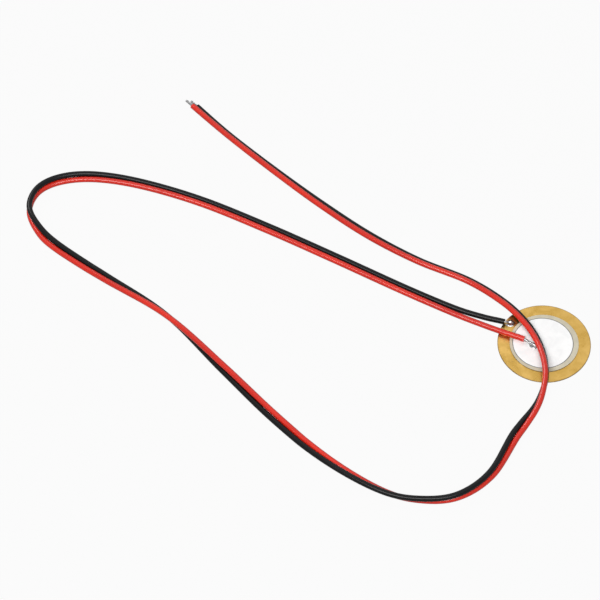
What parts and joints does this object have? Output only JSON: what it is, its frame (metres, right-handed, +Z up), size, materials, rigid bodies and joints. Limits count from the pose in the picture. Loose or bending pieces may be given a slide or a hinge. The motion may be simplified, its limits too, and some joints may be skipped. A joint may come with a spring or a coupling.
{
  "type": "piezo disc",
  "caption": "Round brass plate with a bonded piezo ceramic and silver electrode, soldered to a long red and black pair of flexible leads with bared, tinned ends.",
  "frame": {"origin": "centre of the brass plate's underside, which is also the surface that the leads lie on", "axes": "+Z up through the ceramic side, +X away from the side on which the leads leave, +Y towards the free ends"},
  "size_m": [0.1653, 0.1445, 0.0041],
  "materials": {
    "brass": "satin, lightly stained",
    "adhesive": "cured conductive adhesive",
    "ceramic": "matt, unglazed",
    "silver": "fired silver paste, satin",
    "solder": "bright tin solder",
    "tinned_copper": "tinned strands",
    "red_insulation": "glossy extruded PVC",
    "black_insulation": "glossy extruded PVC"
  },
  "bodies": {
    "root": {"brass_plate": "brass", "bond_film": "adhesive", "lower_electrode": "silver", "ceramic_disc": "ceramic", "upper_electrode": "silver", "rim_solder_joint": "solder", "electrode_solder_joint": "solder", "red_conductor_end": "tinned_copper", "black_conductor_end": "tinned_copper", "red_lead": "red_insulation", "black_lead": "black_insulation", "red_tinned_tip": "tinned_copper", "black_tinned_tip": "tinned_copper"}
  },
  "joints": []
}
